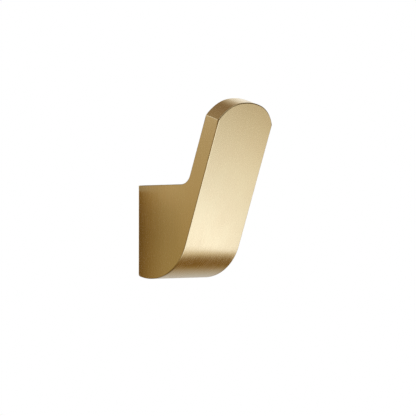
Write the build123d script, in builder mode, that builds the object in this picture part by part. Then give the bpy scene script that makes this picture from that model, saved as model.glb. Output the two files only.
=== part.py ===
"""Wall hook: a solid brass wedge with a forward-leaning blade, on a concealed wall bracket."""

import os
from math import asin, cos, degrees, radians, sin, tan

from build123d import *

# Driving dimensions in millimetres and degrees.
# The wall is Y = 0, the front is -Y and +Z is up. The origin is on the back face, midway up the base.
# One arc, the belly, turns the blade's front under the base and up to the wall.
width = 25.0
base_height = 27.2
ledge_depth = 18.6
blade_thickness = 5.1
blade_lean = 19.1
root_radius = 3.5
belly_radius = 14.0
heel_radius = 0.8
edge_break = 0.3

# Rounded end of the blade: crisp shoulders, then a tight arc, a flatter crown and a tight arc.
shoulder_height = 19.4
shoulder_angle = 33.0
shoulder_radius = 12.2
shoulder_sweep = 45.0

# Pocket in the back face. Its lip hangs on the bracket's bevelled top edge.
pocket_width = 19.0
pocket_depth = 6.4
pocket_bottom = -8.7
pocket_corner = 2.0
lip_depth = 3.6
lip_drop = 1.2

# Wall bracket, flush with the back face, with a groove underneath for the set screw's point.
bracket_top = 10.9
bracket_height = 17.8
bracket_thickness = 6.0
side_clearance = 0.15
groove_depth = 1.2

# Two countersunk holes, one above the other, for 3.5 mm wall screws.
screw_hole_radius = 2.0
screw_head_radius = 3.6
screw_head_angle = 90
screw_spacing = 9.0

# Set screw from below: M4, with a 90 degree cone point and a 2 mm hexagon socket.
thread_radius = 2.0
set_screw_length = 6.0
set_screw_setback = 3.4
set_screw_chamfer = 0.3
point_radius = 0.3
socket_across_flats = 2.0
socket_depth = 2.5

half_width = width / 2
ledge_z = base_height / 2
belly_z = -base_height / 2
shoulder_z = ledge_z + shoulder_height
lean = radians(blade_lean)
bracket_bottom = bracket_top - bracket_height

# The crown's radius makes the arcs meet in line and span the whole width.
arc_start = radians(shoulder_angle)
arc_end = radians(shoulder_angle + shoulder_sweep)
crown_radius = (half_width - shoulder_radius * (cos(arc_start) - cos(arc_end))) / cos(arc_end)
shoulder_rise = shoulder_radius * (sin(arc_end) - sin(arc_start))
end_rise = shoulder_rise + crown_radius * (1 - sin(arc_end))

# A 90 degree cone drops its level by as much as its radius grows.
point_z = bracket_bottom + groove_depth - point_radius
cone_base_z = point_z - (thread_radius - point_radius)
set_screw_end_z = point_z - set_screw_length


def blade_back(z):
    """Y of the blade's back face at height z."""
    return -ledge_depth - (z - ledge_z) * tan(lean)


def blade_front(z):
    """Y of the blade's front face at height z."""
    return blade_back(z) - blade_thickness / cos(lean)


def bevelled_profile(depth, bottom):
    """Side outline of a block on the wall, its top edge bevelled down towards the wall."""
    return [
        (0, bracket_top - lip_drop),
        (-lip_depth, bracket_top),
        (-depth, bracket_top),
        (-depth, bottom),
        (0, bottom),
    ]


def long_corners(block):
    """Edges that run from a block's front to the wall, along its two sides."""
    return block.faces().filter_by(Axis.X).edges().filter_by(Axis.Z, reverse=True)


# The belly's centre, the point where it leaves the blade's front, and its turn from there to the wall.
belly_centre_z = belly_z + belly_radius
belly_centre_y = blade_front(belly_centre_z) + belly_radius / cos(lean)
belly_start = (belly_centre_y - belly_radius * cos(lean), belly_centre_z - belly_radius * sin(lean))
belly_sweep = 90 - blade_lean + degrees(asin(-belly_centre_y / belly_radius))

# The body's side outline runs the blade past its rounded end.
raw_top = shoulder_z + 2 * end_rise

# Plane through the middle of the blade's thickness, level with its shoulders and facing forwards.
blade_plane = Plane(
    origin=(
        0,
        blade_back(shoulder_z) - cos(lean) * blade_thickness / 2,
        shoulder_z - sin(lean) * blade_thickness / 2,
    ),
    x_dir=(1, 0, 0),
    z_dir=(0, -cos(lean), -sin(lean)),
)

with BuildPart() as pocket:
    with BuildSketch(Plane.YZ):
        with BuildLine():
            Polyline(bevelled_profile(pocket_depth, pocket_bottom), close=True)
        make_face()
    extrude(amount=pocket_width / 2, both=True)
    fillet(long_corners(pocket), pocket_corner)

with BuildPart() as hook_body:
    with BuildSketch(Plane.YZ) as side:
        with BuildLine():
            belly = JernArc(
                start=belly_start,
                tangent=(sin(lean), -cos(lean)),
                radius=belly_radius,
                arc_size=belly_sweep,
            )
            Polyline(
                belly @ 1,
                (0, ledge_z),
                (-ledge_depth, ledge_z),
                (blade_back(raw_top), raw_top),
                (blade_front(raw_top), raw_top),
                belly @ 0,
            )
        make_face()
        fillet(side.vertices().sort_by_distance((-ledge_depth, ledge_z))[0], root_radius)
        fillet(side.vertices().sort_by_distance(belly @ 1)[0], heel_radius)
    extrude(amount=half_width, both=True)

    # What lies outside the blade's rounded end is cut away, square to the blade's front face.
    with BuildSketch(blade_plane):
        with BuildLine():
            left_arc = JernArc(
                start=(-half_width, 0),
                tangent=(sin(arc_start), cos(arc_start)),
                radius=shoulder_radius,
                arc_size=-shoulder_sweep,
            )
            crown = JernArc(
                start=left_arc @ 1,
                tangent=left_arc % 1,
                radius=crown_radius,
                arc_size=2 * (shoulder_angle + shoulder_sweep) - 180,
            )
            right_arc = JernArc(
                start=crown @ 1,
                tangent=crown % 1,
                radius=shoulder_radius,
                arc_size=-shoulder_sweep,
            )
            Polyline(
                right_arc @ 1,
                (width, 0),
                (width, 3 * end_rise),
                (-width, 3 * end_rise),
                (-width, 0),
                left_arc @ 0,
            )
        make_face()
    extrude(amount=blade_thickness, both=True, mode=Mode.SUBTRACT)

    # The outlines of both sides and of the blade's end are broken, except on the wall.
    off_wall = hook_body.edges().filter_by(lambda edge: edge.bounding_box().min.Y < -edge_break)
    flat_across = off_wall.filter_by(lambda edge: edge.bounding_box().size.X < 1e-4)
    side_edges = flat_across.filter_by(lambda edge: abs(edge.center().X) > half_width - 1e-4)
    end_edges = off_wall.filter_by(GeomType.CIRCLE) - flat_across
    fillet(side_edges + end_edges, edge_break)

    add(pocket.part, mode=Mode.SUBTRACT)

    # Tapped hole from the bottom up into the pocket.
    with BuildSketch(Plane.XY.offset(belly_z)):
        with Locations((0, -set_screw_setback)):
            Circle(thread_radius)
    extrude(amount=pocket_bottom - belly_z + groove_depth, mode=Mode.SUBTRACT)

with BuildPart() as wall_bracket:
    with BuildSketch(Plane.YZ):
        with BuildLine():
            Polyline(bevelled_profile(bracket_thickness, bracket_bottom), close=True)
        make_face()
    extrude(amount=pocket_width / 2 - side_clearance, both=True)
    fillet(long_corners(wall_bracket), pocket_corner - side_clearance)

    # V groove along the bottom edge.
    with BuildSketch(Plane.YZ):
        with BuildLine():
            Polyline(
                (-set_screw_setback - groove_depth, bracket_bottom),
                (-set_screw_setback, bracket_bottom + groove_depth),
                (-set_screw_setback + groove_depth, bracket_bottom),
                close=True,
            )
        make_face()
    extrude(amount=half_width, both=True, mode=Mode.SUBTRACT)

    bracket_front = Plane(
        origin=(0, -bracket_thickness, bracket_top - bracket_height / 2),
        x_dir=(1, 0, 0),
        z_dir=(0, -1, 0),
    )
    with Locations(bracket_front):
        with GridLocations(0, screw_spacing, 1, 2):
            CounterSinkHole(
                radius=screw_hole_radius,
                counter_sink_radius=screw_head_radius,
                counter_sink_angle=screw_head_angle,
            )

with BuildPart() as set_screw:
    with BuildSketch(Plane.XZ.offset(set_screw_setback)):
        with BuildLine():
            Polyline(
                (0, set_screw_end_z),
                (thread_radius - set_screw_chamfer, set_screw_end_z),
                (thread_radius, set_screw_end_z + set_screw_chamfer),
                (thread_radius, cone_base_z),
                (point_radius, point_z),
                (0, point_z),
                close=True,
            )
        make_face()
    revolve(axis=Axis((0, -set_screw_setback, 0), (0, 0, 1)))
    with BuildSketch(Plane.XY.offset(set_screw_end_z)):
        with Locations((0, -set_screw_setback)):
            RegularPolygon(radius=socket_across_flats / 2, side_count=6, major_radius=False)
    extrude(amount=socket_depth, mode=Mode.SUBTRACT)

hook_body.part.label = "hook_body"
wall_bracket.part.label = "wall_bracket"
set_screw.part.label = "set_screw"

os.makedirs("parts", exist_ok=True)
export_step(hook_body.part, "parts/hook_body.step")
export_step(wall_bracket.part, "parts/wall_bracket.step")
export_step(set_screw.part, "parts/set_screw.step")
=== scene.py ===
from math import cos, pi, radians, sin

import bmesh
import bpy
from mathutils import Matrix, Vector


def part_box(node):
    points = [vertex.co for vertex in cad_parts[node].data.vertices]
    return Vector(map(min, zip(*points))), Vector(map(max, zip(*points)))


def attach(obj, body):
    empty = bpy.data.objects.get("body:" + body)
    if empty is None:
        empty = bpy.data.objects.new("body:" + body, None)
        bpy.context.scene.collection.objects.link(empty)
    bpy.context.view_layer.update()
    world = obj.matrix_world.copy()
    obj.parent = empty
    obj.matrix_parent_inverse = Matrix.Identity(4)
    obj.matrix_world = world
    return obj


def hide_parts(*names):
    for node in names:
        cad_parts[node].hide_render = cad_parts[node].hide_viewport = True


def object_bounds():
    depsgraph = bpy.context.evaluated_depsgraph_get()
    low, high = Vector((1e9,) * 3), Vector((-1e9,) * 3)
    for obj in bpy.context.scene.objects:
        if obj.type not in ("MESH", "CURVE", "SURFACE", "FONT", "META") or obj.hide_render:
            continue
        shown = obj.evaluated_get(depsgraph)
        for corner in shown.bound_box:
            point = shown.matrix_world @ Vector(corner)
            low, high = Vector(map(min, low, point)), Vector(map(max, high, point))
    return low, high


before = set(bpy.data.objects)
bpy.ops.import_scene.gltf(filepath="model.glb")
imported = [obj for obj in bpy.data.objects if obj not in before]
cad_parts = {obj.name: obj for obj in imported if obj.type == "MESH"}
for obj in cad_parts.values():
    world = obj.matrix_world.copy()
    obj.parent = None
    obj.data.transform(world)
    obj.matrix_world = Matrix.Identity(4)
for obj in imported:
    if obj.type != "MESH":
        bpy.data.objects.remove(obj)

CAD_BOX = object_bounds()
MM = 0.001
X, Y, Z = 0, 1, 2

# Camera of the photograph: it stands left of the hook's front and a little below it.
CAMERA_AZIMUTH = -51.0
CAMERA_ELEVATION = -1.184
CAMERA_DISTANCE = 448.6 * MM
CAMERA_AIM = Vector((-0.710, -16.646, 6.993)) * MM
CAMERA_LENS = 133.40
SENSOR_WIDTH = 36.0

# A round floor well below the hook, and the distances from its middle where it starts and ends to turn white.
FLOOR_PLACE = Vector((0, -15, -120)) * MM
FLOOR_RADIUS = 300 * MM
FLOOR_SIDES = 96
FLOOR_FADE = (80 * MM, 290 * MM)

# The wall that the cards stand for, in mm behind the hook's back.
WALL_Y = 1

LAMP_PLACE = Vector((-120, -200, 550)) * MM
LAMP_SIZE = 250 * MM
LAMP_WATTS = 4.0
# Strength of the world's light on dull surfaces, where 1 is white.
WORLD_FOR_DULL = 0.6

# The hook in mm: the blade's lean from upright, half the width, the broken edges, and the heights where the
# blade's rounded end begins and where the belly turns under.
BLADE_LEAN = radians(19.1)
HALF_WIDTH = CAD_BOX[1][X] / MM
EDGE_BREAK = 0.3
BLADE_END_Z = 31.0
BELLY_Z = -10.0
SHOULDER_SOFTNESS = 0.6

# Brass in its two brushed tones, blotches, hairlines, polished edges with a painted highlight, and painted
# shade on some edges.
BRASS_DEEP = (0.86, 0.735, 0.49, 1)
BRASS_PALE = (0.9, 0.775, 0.53, 1)
BRASS_WARM = (0.9, 0.74, 0.5, 1)
BRASS_HAIR = (0.72, 0.58, 0.35, 1)
BRASS_POLISHED_HIGHLIGHT = (0.95, 0.84, 0.6, 1)
BRASS_PAINTED_SHADE = (0.42, 0.32, 0.17, 1)

STEEL_DARK = (0.55, 0.55, 0.53, 1)
STEEL_PALE = (0.68, 0.68, 0.66, 1)
STEEL_STAIN = (0.52, 0.51, 0.48, 1)
STEEL_WORN = (0.8, 0.8, 0.79, 1)

OXIDE_DARK = (0.18, 0.18, 0.19, 1)
OXIDE_PALE = (0.26, 0.26, 0.27, 1)
OXIDE_WORN = (0.55, 0.54, 0.52, 1)

# The set screw's box in mm, and the y of its axis.
SCREW_LOW, SCREW_HIGH = (Vector(corner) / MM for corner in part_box("set_screw"))
SCREW_Y = (SCREW_LOW.y + SCREW_HIGH.y) / 2

# M4 thread in mm: the set screw's own is smaller by a little play than the one in its hole.
PITCH = 0.7
THREAD_DEPTH = 0.38
THREAD_PLAY = 0.03
# Half the flat at a 60 degree thread's crest, and half the one at its root, as shares of the pitch.
CREST_HALF = 1 / 16
ROOT_HALF = 1 / 8
# How much smaller than its thread's root the set screw's end is, and the radius of the flat on its point.
END_INSET = 0.03
POINT_FLAT = 0.3
# The hole's thread is a sleeve. Its ends stand a hair proud of the hole's wall, and its back is sunk in it.
HOLE_RADIUS = 2.0
HOLE_THREAD_Z = (-13.0, -8.8)
SLEEVE_RISE = 0.01
SLEEVE_SINK = 0.05
# Hexagon socket in mm: across its flats, its depth, the radius and slope of its countersunk mouth, and the
# radius and depth of the drill's mark at its bottom.
SOCKET_FLATS = 2.0
SOCKET_DEPTH = 2.5
SOCKET_MOUTH = 1.28
SOCKET_MOUTH_SLOPE = 0.6
DRILL_RADIUS = 0.95
DRILL_DEPTH = 0.3
# Steps round a thread, and rows across its pitch.
STEPS = 72
ROWS = 16
SHARP_ANGLE = radians(25)
MERGE_REACH = 0.001 * MM


def grey(level):
    return (level, level, level)


def direction(azimuth, elevation):
    """Unit vector from the object towards a viewer; azimuth 0 is in front, on the -Y side."""
    a, e = radians(azimuth), radians(elevation)
    return Vector((sin(a) * cos(e), -cos(a) * cos(e), sin(e)))


def link(obj):
    bpy.context.scene.collection.objects.link(obj)
    return obj


def add(tree, kind, inputs=(), **settings):
    """One shader node. Each input is a name or number with a value, or with the socket that feeds it."""
    node = tree.nodes.new("ShaderNode" + kind)
    for name, value in settings.items():
        setattr(node, name, value)
    for name, value in dict(inputs).items():
        if isinstance(value, bpy.types.NodeSocket):
            tree.links.new(value, node.inputs[name])
        else:
            node.inputs[name].default_value = value
    return node


def math(tree, operation, a, b=0.0):
    return add(tree, "Math", {0: a, 1: b}, operation=operation).outputs[0]


def times(tree, first, *others):
    """The product of two or more values."""
    for other in others:
        first = math(tree, "MULTIPLY", first, other)
    return first


def dot(tree, a, b):
    return add(tree, "VectorMath", {0: a, 1: b}, operation="DOT_PRODUCT").outputs["Value"]


def ramp(tree, value, low, high, to_low=0.0, to_high=1.0, smooth=False):
    """The value's span low..high spread over to_low..to_high, and held at its ends."""
    inputs = {"Value": value, "From Min": low, "From Max": high, "To Min": to_low, "To Max": to_high}
    kind = "SMOOTHSTEP" if smooth else "LINEAR"
    return add(tree, "MapRange", inputs, interpolation_type=kind).outputs["Result"]


def blend(tree, factor, a, b, kind="MIX"):
    """Two colours mixed. A Mix node takes them at its inputs 6 and 7 and gives its output 2."""
    return add(tree, "Mix", {"Factor": factor, 6: a, 7: b}, data_type="RGBA", blend_type=kind).outputs[2]


def blend_vectors(tree, factor, a, b):
    """Two vectors mixed. A Mix node takes them at its inputs 4 and 5 and gives its output 1."""
    return add(tree, "Mix", {"Factor": factor, 4: a, 5: b}, data_type="VECTOR").outputs[1]


def make_camera():
    data = bpy.data.cameras.new("camera")
    data.sensor_width = SENSOR_WIDTH
    data.lens = CAMERA_LENS
    data.clip_start = 0.01
    data.clip_end = 20.0
    cam = link(bpy.data.objects.new("camera", data))
    back = direction(CAMERA_AZIMUTH, CAMERA_ELEVATION)
    cam.location = CAMERA_AIM + back * CAMERA_DISTANCE
    cam.rotation_mode = "QUATERNION"
    cam.rotation_quaternion = (-back).to_track_quat("-Z", "Y")
    bpy.context.scene.camera = cam


def make_world():
    """White as the camera, metal and glass see it; a softer grey as the light on dull surfaces."""
    world = bpy.data.worlds.new("studio")
    bpy.context.scene.world = world
    world.use_nodes = True
    tree = world.node_tree
    path = add(tree, "LightPath")
    seen = math(tree, "MAXIMUM", path.outputs["Is Camera Ray"], path.outputs["Is Glossy Ray"])
    seen = math(tree, "MAXIMUM", seen, path.outputs["Is Transmission Ray"])
    background = tree.nodes["Background"]
    background.inputs["Color"].default_value = (1, 1, 1, 1)
    tree.links.new(ramp(tree, seen, 0, 1, WORLD_FOR_DULL, 1.0), background.inputs["Strength"])


def material(name):
    mat = bpy.data.materials.new(name)
    mat.use_nodes = True
    return mat, mat.node_tree


def empty_material(name):
    """A material with nothing but its output."""
    mat, tree = material(name)
    tree.nodes.remove(tree.nodes["Principled BSDF"])
    return mat, tree


def make_floor():
    """A pale floor well below the hook, outside the photograph's view. It melts into the white around it."""
    turns = [2 * pi * i / FLOOR_SIDES for i in range(FLOOR_SIDES)]
    outline = [(FLOOR_RADIUS * cos(turn), FLOOR_RADIUS * sin(turn), 0) for turn in turns]
    mesh = bpy.data.meshes.new("floor")
    mesh.from_pydata(outline, [], [tuple(range(FLOOR_SIDES))])
    floor = link(bpy.data.objects.new("floor", mesh))
    floor.location = FLOOR_PLACE
    mat, tree = empty_material("floor")
    place = add(tree, "TexCoord").outputs["Object"]
    reach = add(tree, "VectorMath", {0: place}, operation="LENGTH").outputs["Value"]
    dull = add(tree, "BsdfDiffuse", {"Color": (0.86, 0.86, 0.85, 1)}).outputs[0]
    white = add(tree, "Emission", {"Color": (1, 1, 1, 1)}).outputs[0]
    edge = ramp(tree, reach, *FLOOR_FADE, smooth=True)
    surface = add(tree, "MixShader", {0: edge, 1: dull, 2: white}).outputs[0]
    tree.links.new(surface, tree.nodes["Material Output"].inputs["Surface"])
    mesh.materials.append(mat)


def make_lamp():
    """A soft lamp overhead for the dull floor. Metal sees the cards instead."""
    data = bpy.data.lights.new("overhead", "AREA")
    data.size = LAMP_SIZE
    data.energy = LAMP_WATTS
    lamp = link(bpy.data.objects.new("overhead", data))
    lamp.location = LAMP_PLACE
    lamp.rotation_mode = "QUATERNION"
    lamp.rotation_quaternion = (-LAMP_PLACE).to_track_quat("-Z", "Y")
    lamp.visible_glossy = False


def card(name, low, high, ramps):
    """A studio card between two corners in mm, square to one axis, that only reflections see.

    Each ramp is an axis and its stops: a place along it in mm, and the colour there. Two ramps multiply.
    """
    flat = [axis for axis in (X, Y, Z) if low[axis] == high[axis]][0]
    across, up = [axis for axis in (X, Y, Z) if axis != flat]
    corners = []
    for s, t in ((0, 0), (1, 0), (1, 1), (0, 1)):
        corner = Vector(low)
        corner[across] = (low, high)[s][across]
        corner[up] = (low, high)[t][up]
        corners.append(corner * MM)
    mesh = bpy.data.meshes.new(name)
    mesh.from_pydata(corners, [], [(0, 1, 2, 3)])
    obj = link(bpy.data.objects.new(name, mesh))
    mat, tree = empty_material(name)
    place = add(tree, "NewGeometry").outputs["Position"]
    split = add(tree, "SeparateXYZ", {0: place})
    colour = None
    for axis, stops in ramps:
        first, last = stops[0][0], stops[-1][0]
        along = ramp(tree, split.outputs[axis], first * MM, last * MM)
        shades = add(tree, "ValToRGB", {"Fac": along})
        elements = shades.color_ramp.elements
        for i, (at, shade) in enumerate(stops):
            element = elements[0] if i == 0 else elements[-1]
            if 0 < i < len(stops) - 1:
                element = elements.new((at - first) / (last - first))
            element.color = (*shade, 1)
        shade = shades.outputs["Color"]
        colour = blend(tree, 1.0, colour, shade, "MULTIPLY") if colour else shade
    emit = add(tree, "Emission", {"Color": colour}).outputs[0]
    tree.links.new(emit, tree.nodes["Material Output"].inputs["Surface"])
    mesh.materials.append(mat)
    obj.visible_camera = False
    obj.visible_diffuse = False
    obj.visible_shadow = False


def mirrored(stops):
    return [(-at, shade) for at, shade in reversed(stops)]


def make_wall_cards():
    """The wall, just behind the hook's back: a near and a far card each side, one above and one below."""
    beside, away, far = 13, 32, 160
    foot, pale_top, over, top = -60, -14, 15, 48

    # Beside the hook the wall is dark, with a painted shadow where it meets the hook, and lighter away from
    # it and higher up.
    close_by_painted_shadow = [
        (-away, (0.395, 0.29, 0.143)),
        (-27, (0.38, 0.28, 0.14)),
        (-19, (0.27, 0.17, 0.06)),
        (-beside, (0.14, 0.07, 0.01)),
    ]
    beyond = [(-90, (0.46, 0.35, 0.18)), (-40, (0.42, 0.31, 0.15)), (-away, (0.395, 0.29, 0.143))]
    steep = [
        (foot, (0.95, 0.95, 0.8)),
        (-12, (0.92, 0.92, 0.78)),
        (0, (0.82, 0.81, 0.69)),
        (7, (0.94, 0.95, 0.9)),
        (14, (1.32, 1.4, 1.58)),
        (24, (1.05, 1.1, 1.3)),
        (top, (1.1, 1.2, 1.7)),
    ]
    gentle = [
        (foot, (0.7, 0.68, 0.45)),
        (-12, (0.76, 0.74, 0.52)),
        (-2, (0.96, 0.94, 0.84)),
        (12, (1.08, 1.1, 1.15)),
        (24, (1.1, 1.17, 1.36)),
        (top, (1.3, 1.43, 2.0)),
    ]
    for side, sign, bottom in (("left", -1, foot), ("right", 1, pale_top)):
        near_stops, far_stops = (close_by_painted_shadow, beyond) if sign < 0 else (mirrored(close_by_painted_shadow), mirrored(beyond))
        inner, middle, outer = sign * beside, sign * away, sign * far
        low, high = (middle, WALL_Y, bottom), (middle, WALL_Y, top)
        card(f"card_wall_{side}", (inner, WALL_Y, bottom), high, [(X, near_stops), (Z, steep)])
        card(f"card_wall_far_{side}", low, (outer, WALL_Y, top), [(X, far_stops), (Z, gentle)])

    # A lighter patch level with the ledge, as the side's top corner shows it.
    patch_y, patch_left, patch_foot = 0.9, -25, 12
    patch = [(patch_left, (0.42, 0.31, 0.16)), (-19, (0.4, 0.31, 0.18)), (-beside, (0.27, 0.21, 0.12))]
    card("card_wall_patch", (patch_left, patch_y, patch_foot), (-beside, patch_y, top), [(X, patch)])

    dusk = [(over, (0.12, 0.08, 0.03)), (top, (0.2, 0.15, 0.08))]
    card("card_wall_top", (-beside, WALL_Y, over), (beside, WALL_Y, top), [(Z, dusk)])

    # Under the hook the wall is pale, as the belly's lowest part shows it.
    pale = [(foot, (0.32, 0.24, 0.15)), (-30, (0.45, 0.41, 0.35)), (pale_top, (0.57, 0.58, 0.61))]
    card("card_wall_low", (-beside, WALL_Y, foot), (far, WALL_Y, pale_top), [(Z, pale)])


def make_room_cards():
    """The rest of the studio, above, round the front and below."""
    front_y, front_side, front_foot, ceiling_z, ground_z = -140, 70, -48, 130, -100
    left_top, right_back = 90, -8

    # Above it is dark, and light towards its right end.
    above_left, above_right = -140, 170
    above = [
        (above_left, (0.3, 0.22, 0.12)),
        (-40, (0.3, 0.22, 0.13)),
        (-5, (0.25, 0.17, 0.1)),
        (25, (0.24, 0.16, 0.08)),
        (60, (0.47, 0.4, 0.31)),
        (95, (0.74, 0.7, 0.63)),
        (130, (0.93, 0.91, 0.88)),
        (above_right, grey(1.05)),
    ]
    card("card_above", (above_left, -60, ceiling_z), (above_right, 90, ceiling_z), [(X, above)])

    # Round the front it is bright low down and darker above, which shades the blade's front from foot to tip.
    front = [
        (front_foot, (1.33, 1.4, 1.53)),
        (-20, (0.91, 0.91, 0.88)),
        (-10, (0.86, 0.84, 0.77)),
        (0, (0.72, 0.67, 0.56)),
        (15, (0.51, 0.44, 0.3)),
        (35, (0.2, 0.15, 0.08)),
        (ceiling_z, (0.2, 0.15, 0.08)),
    ]
    shadow = [
        (-front_side, (0.3, 0.22, 0.12)),
        (-10, (0.5, 0.45, 0.35)),
        (20, grey(1.15)),
        (35, grey(1.7)),
        (front_side, grey(1.4)),
    ]
    dim = [
        (front_y, (0.5, 0.4, 0.25)),
        (-60, (0.2, 0.13, 0.05)),
        (-8, (0.16, 0.1, 0.03)),
        (WALL_Y, (0.3, 0.2, 0.08)),
    ]
    near = [
        (front_y, grey(0.75)),
        (-92, grey(0.8)),
        (-76, grey(1.0)),
        (-62, grey(1.11)),
        (-52, grey(1.05)),
        (-38, (0.42, 0.33, 0.21)),
        (right_back, (0.3, 0.22, 0.12)),
    ]
    left, right = -front_side, front_side
    card("card_front", (left, front_y, front_foot), (right, front_y, ceiling_z), [(Z, front), (X, shadow)])
    card("card_front_left", (left, front_y, ground_z), (left, WALL_Y, left_top), [(Y, dim)])
    low, high = (right, front_y, front_foot), (right, right_back, ceiling_z)
    card("card_front_right", low, high, [(Z, front), (Y, near)])

    # Below there is a dark band that the belly shows, then a mid tone behind it.
    below_left, below_right, below_front, below_back = -100, 400, -120, 210
    below = [
        (below_front, grey(1.0)),
        (-76, (0.6, 0.5, 0.31)),
        (-58, (0.2, 0.12, 0.03)),
        (-30, (0.15, 0.07, 0.0)),
        (-5, (0.14, 0.065, 0.0)),
        (20, (0.4, 0.28, 0.06)),
        (50, (0.6, 0.55, 0.4)),
        (below_back, grey(0.9)),
    ]
    askew = [(below_left, grey(0.8)), (115, grey(1.2)), (150, grey(0.93)), (below_right, grey(0.93))]
    low, high = (below_left, below_front, ground_z), (below_right, below_back, ground_z)
    card("card_below", low, high, [(Y, below), (X, askew)])


def place_mm(tree):
    """The object's own x, y and z in mm."""
    place = add(tree, "TexCoord").outputs["Object"]
    place = add(tree, "VectorMath", {0: place, "Scale": 1 / MM}, operation="SCALE").outputs["Vector"]
    return add(tree, "SeparateXYZ", {0: place}).outputs


def vector(tree, x, y, z):
    return add(tree, "CombineXYZ", {0: x, 1: y, 2: z}).outputs[0]


def noise(tree, place, scale=1.0, detail=2.0):
    return add(tree, "TexNoise", {"Vector": place, "Scale": scale, "Detail": detail}).outputs[0]


def lines(tree, across, slow_a, slow_b, width, length):
    """Noise drawn out into lines of about this width and length in mm."""
    place = vector(
        tree,
        math(tree, "DIVIDE", across, width),
        math(tree, "DIVIDE", slow_a, length),
        math(tree, "DIVIDE", slow_b, length),
    )
    return noise(tree, place)


def rounded(tree, radius, samples):
    """The surface's normal with its edges rounded by a radius in mm, in shading alone."""
    return add(tree, "Bevel", {"Radius": radius * MM}, samples=samples).outputs[0]


def edge_wear(tree, radius):
    """1 on sharp edges, 0 on open faces."""
    true = add(tree, "NewGeometry").outputs["Normal"]
    return ramp(tree, dot(tree, rounded(tree, radius, 6), true), 0.99, 0.85)


def connect_metal(tree, colour, rough, normal):
    """Ends a metal's shader with its colour, roughness and normal."""
    bsdf = tree.nodes["Principled BSDF"]
    bsdf.inputs["Metallic"].default_value = 1.0
    tree.links.new(colour, bsdf.inputs["Base Color"])
    tree.links.new(rough, bsdf.inputs["Roughness"])
    tree.links.new(normal, bsdf.inputs["Normal"])


def brass():
    """Satin brass, brushed along the blade, along the sides and round the blade's end."""
    mat, tree = material("brushed_brass")
    x, y, z = place_mm(tree)
    off_centre = math(tree, "ABSOLUTE", x)
    normal = add(tree, "TexCoord").outputs["Normal"]
    normal_parts = add(tree, "SeparateXYZ", {0: normal}).outputs
    sideways = math(tree, "ABSOLUTE", normal_parts[X])
    facing = math(tree, "ABSOLUTE", dot(tree, normal, (0, -cos(BLADE_LEAN), -sin(BLADE_LEAN))))
    side = ramp(tree, sideways, 0.9, 0.96)
    not_side = ramp(tree, side, 1, 0)
    high = ramp(tree, z, BLADE_END_Z - 2, BLADE_END_Z)
    end = times(tree, high, ramp(tree, facing, 0.7, 0.4), not_side)

    # Coordinate across the brushing lines, and two that run along them.
    through = math(tree, "ADD", times(tree, y, cos(BLADE_LEAN)), times(tree, z, sin(BLADE_LEAN)))
    across = ramp(tree, end, 0, 1, ramp(tree, side, 0, 1, x, y), through)
    along = ramp(tree, math(tree, "MAXIMUM", side, end), 0, 1, y, x)
    fine = lines(tree, across, along, z, 0.3, 12)
    coarse = lines(tree, across, along, z, 0.9, 30)
    hair = ramp(tree, lines(tree, across, along, z, 0.12, 5), 0.62, 0.74)
    mottle = noise(tree, vector(tree, x, y, z), 0.16, 3.0)
    brushed = math(tree, "ADD", times(tree, fine, 0.6), times(tree, coarse, 0.4))

    # The broken edges along both sides are polished, with a little less roughness and a paler colour that is
    # a painted highlight.
    flat_half = HALF_WIDTH - EDGE_BREAK
    rim = times(
        tree,
        ramp(tree, sideways, 0.1, 0.3),
        ramp(tree, sideways, 0.98, 0.9),
        ramp(tree, off_centre, flat_half - 0.05, flat_half + 0.05),
    )
    # Painted shade: the edges of the blade's end, on its front and back, are darkened in colour.
    end_rim_painted_shade = times(tree, ramp(tree, facing, 0.12, 0.25), ramp(tree, facing, 0.985, 0.95), high)
    # Painted shade also along both sides of the belly, but not on the face on the wall.
    belly_rim_painted_shade = times(
        tree,
        ramp(tree, off_centre, HALF_WIDTH - 1.3, HALF_WIDTH - 0.2),
        ramp(tree, z, BELLY_Z + 1, BELLY_Z - 1),
        not_side,
        ramp(tree, normal_parts[Y], 0.9, 0.6),
    )

    colour = blend(tree, ramp(tree, brushed, 0.3, 0.7), BRASS_DEEP, BRASS_PALE)
    colour = blend(tree, ramp(tree, mottle, 0.35, 0.65, 0.0, 0.35), colour, BRASS_WARM)
    colour = blend(tree, times(tree, hair, 0.07), colour, BRASS_HAIR)
    # The polished edges get a painted highlight, and the edges of the blade's end and of the belly get a
    # painted shade.
    colour = blend(tree, times(tree, rim, 0.5), colour, BRASS_POLISHED_HIGHLIGHT)
    colour = blend(tree, times(tree, end_rim_painted_shade, 0.8), colour, BRASS_PAINTED_SHADE)
    colour = blend(tree, times(tree, belly_rim_painted_shade, 0.7), colour, BRASS_PAINTED_SHADE)
    rough = ramp(tree, brushed, 0.3, 0.7, 0.235, 0.295)
    rough = math(tree, "ADD", rough, ramp(tree, mottle, 0.3, 0.7, -0.015, 0.02))
    rough = math(tree, "SUBTRACT", rough, times(tree, rim, 0.06))

    # The blade's shoulders are a little softened and catch the light.
    true = add(tree, "NewGeometry").outputs["Normal"]
    shoulder = times(tree, high, ramp(tree, off_centre, HALF_WIDTH - 1.1, HALF_WIDTH - 0.6))
    shading = blend_vectors(tree, shoulder, true, rounded(tree, SHOULDER_SOFTNESS, 8))
    height = math(tree, "SUBTRACT", brushed, times(tree, hair, 0.1))
    grooves = {"Strength": 1.0, "Distance": 0.0025 * MM, "Height": height, "Normal": shading}
    connect_metal(tree, colour, rough, add(tree, "Bump", grooves).outputs[0])
    return mat


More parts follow.
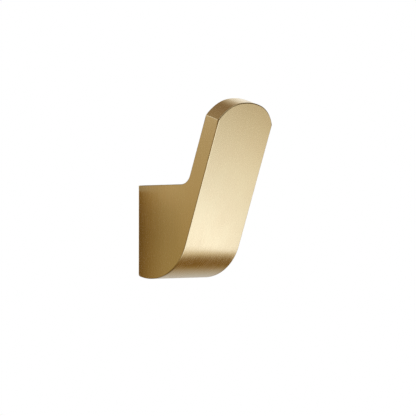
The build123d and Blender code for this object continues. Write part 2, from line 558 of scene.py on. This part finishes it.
def steel():
    """Milled steel: fine level tool marks, a dull grain and brighter edges."""
    mat, tree = material("bracket_steel")
    x, y, z = place_mm(tree)
    marks = lines(tree, z, x, y, 0.25, 14)
    grain = noise(tree, vector(tree, x, y, z), 1.5, 4.0)
    stain = noise(tree, vector(tree, x, y, z), 0.2, 3.0)
    wear = edge_wear(tree, 0.35)
    colour = blend(tree, ramp(tree, marks, 0.3, 0.7), STEEL_DARK, STEEL_PALE)
    colour = blend(tree, ramp(tree, stain, 0.4, 0.7, 0.0, 0.5), colour, STEEL_STAIN)
    colour = blend(tree, times(tree, wear, 0.6), colour, STEEL_WORN)
    rough = math(tree, "SUBTRACT", ramp(tree, grain, 0.3, 0.7, 0.36, 0.5), times(tree, wear, 0.12))
    height = math(tree, "ADD", marks, times(tree, grain, 0.4))
    tool_marks = {"Strength": 1.0, "Distance": 0.012 * MM, "Height": height}
    connect_metal(tree, colour, rough, add(tree, "Bump", tool_marks).outputs[0])
    return mat


def black_oxide():
    """Blackened steel, rubbed bright along its edges."""
    mat, tree = material("set_screw_steel")
    x, y, z = place_mm(tree)
    grain = noise(tree, vector(tree, x, y, z), 3.0, 4.0)
    wear = times(tree, edge_wear(tree, 0.12), ramp(tree, grain, 0.35, 0.6, 0.3, 1.0))
    colour = blend(tree, ramp(tree, grain, 0.3, 0.7), OXIDE_DARK, OXIDE_PALE)
    colour = blend(tree, wear, colour, OXIDE_WORN)
    rough = math(tree, "SUBTRACT", ramp(tree, grain, 0.3, 0.7, 0.32, 0.48), times(tree, wear, 0.1))
    pits = {"Strength": 1.0, "Distance": 0.008 * MM, "Height": grain}
    connect_metal(tree, colour, rough, add(tree, "Bump", pits).outputs[0])
    return mat


def thread_height(phase):
    """Height of a 60 degree thread over its root, as a share of its depth; a whole number is a crest."""
    from_crest = abs((phase + 0.5) % 1 - 0.5)
    root_start = 0.5 - ROOT_HALF
    return min(1, max(0, (root_start - from_crest) / (root_start - CREST_HALF)))


def ring(mesh, radius, z):
    """Points round the thread's axis. The radius and the height are numbers, or follow from the angle."""
    points = []
    for step in range(STEPS):
        angle = 2 * pi * step / STEPS
        r = radius(angle) if callable(radius) else radius
        height = z(angle) if callable(z) else z
        points.append(mesh.verts.new(Vector((r * cos(angle), r * sin(angle), height)) * MM))
    return points


def join(mesh, first, second):
    """A band of faces between two rings."""
    for i in range(STEPS):
        mesh.faces.new((first[i - 1], first[i], second[i], second[i - 1]))


def close(mesh, edge, z):
    """A fan of faces from a ring to a point on the axis."""
    tip = mesh.verts.new(Vector((0, 0, z)) * MM)
    for i in range(STEPS):
        mesh.faces.new((edge[i - 1], edge[i], tip))


def helix(mesh, low, high, radius):
    """A thread's surface from one height to another, in rows that climb with it. Gives its end rings.

    The radius follows from the place across the pitch and the height. At both ends it is one value all
    round, so the rows that run out there fall together and are merged.
    """
    count = round(((high - low) / PITCH + 1) * ROWS) + 1
    rows = []
    for row in range(count + 1):
        start = low - PITCH + PITCH * row / ROWS

        def height(angle):
            return min(high, max(low, start + PITCH * angle / (2 * pi)))

        rows.append(ring(mesh, lambda angle: radius(start / PITCH, height(angle)), height))
    for row in range(count):
        this, after = rows[row], rows[row + 1]
        for step in range(STEPS - 1):
            mesh.faces.new((this[step], this[step + 1], after[step + 1], after[step]))
        # One turn on, a row has become the one a pitch above it.
        above, next_above = min(row + ROWS, count), min(row + ROWS + 1, count)
        corners = [this[-1], rows[above][0], rows[next_above][0], after[-1]]
        if above == next_above:
            del corners[2]
        mesh.faces.new(corners)
    return rows[0], rows[-1]


def finish_piece(name, shape, finish):
    """A smooth piece with crisp edges, moved to the screw's axis. It rides on the hook's one body."""
    bmesh.ops.remove_doubles(shape, verts=shape.verts, dist=MERGE_REACH)
    bmesh.ops.recalc_face_normals(shape, faces=shape.faces)
    bmesh.ops.translate(shape, verts=shape.verts, vec=Vector((0, SCREW_Y, 0)) * MM)
    mesh = bpy.data.meshes.new(name)
    shape.to_mesh(mesh)
    shape.free()
    mesh.shade_smooth()
    mesh.set_sharp_from_angle(angle=SHARP_ANGLE)
    mesh.materials.append(finish)
    piece = link(bpy.data.objects.new(name, mesh))
    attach(piece, "root")
    return piece


def make_set_screw(finish):
    """Set screw with its thread cut, a hexagon socket in its chamfered end, and a cone point with a flat."""
    low, high = SCREW_LOW.z, SCREW_HIGH.z
    root = SCREW_HIGH.x - THREAD_PLAY - THREAD_DEPTH
    socket_end = low + SOCKET_DEPTH

    def radius(phase, z):
        cut = root + THREAD_DEPTH * thread_height(phase)
        return min(cut, root - END_INSET + z - low, POINT_FLAT + high - z)

    def socket(angle):
        return SOCKET_FLATS / 2 / cos(angle % (pi / 3) - pi / 6)

    def socket_rim(angle):
        return low + (SOCKET_MOUTH - socket(angle)) * SOCKET_MOUTH_SLOPE

    shape = bmesh.new()
    end, point = helix(shape, low, high, radius)
    mouth = ring(shape, SOCKET_MOUTH, low)
    rim = ring(shape, socket, socket_rim)
    bottom = ring(shape, socket, socket_end)
    drilled = ring(shape, DRILL_RADIUS, socket_end)
    for first, second in ((end, mouth), (mouth, rim), (rim, bottom), (bottom, drilled)):
        join(shape, first, second)
    close(shape, drilled, socket_end + DRILL_DEPTH)
    close(shape, point, high)
    piece = finish_piece("set_screw_threaded", shape, finish)
    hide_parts("set_screw")


def make_hole_thread(finish):
    """The thread inside the body's hole: a sleeve sunk a little into the hole's wall."""
    low, high = HOLE_THREAD_Z
    proud = HOLE_RADIUS - SLEEVE_RISE
    root = HOLE_RADIUS - THREAD_DEPTH

    def radius(phase, z):
        cut = root + THREAD_DEPTH * thread_height(phase)
        return min(proud, max(cut, proud - (z - low), proud - (high - z)))

    shape = bmesh.new()
    bottom, top = helix(shape, low, high, radius)
    outer_bottom = ring(shape, HOLE_RADIUS + SLEEVE_SINK, low)
    outer_top = ring(shape, HOLE_RADIUS + SLEEVE_SINK, high)
    for first, second in ((bottom, outer_bottom), (outer_bottom, outer_top), (outer_top, top)):
        join(shape, first, second)
    finish_piece("hole_thread", shape, finish)


FINISHES = {"hook_body": brass(), "wall_bracket": steel(), "set_screw": black_oxide()}

make_camera()
make_world()
make_floor()
make_lamp()
make_wall_cards()
make_room_cards()
for name, finish in FINISHES.items():
    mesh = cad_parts[name].data
    mesh.materials.clear()
    mesh.materials.append(finish)
make_set_screw(FINISHES["set_screw"])
make_hole_thread(FINISHES["hook_body"])

bpy.context.scene.view_settings.view_transform = "Standard"
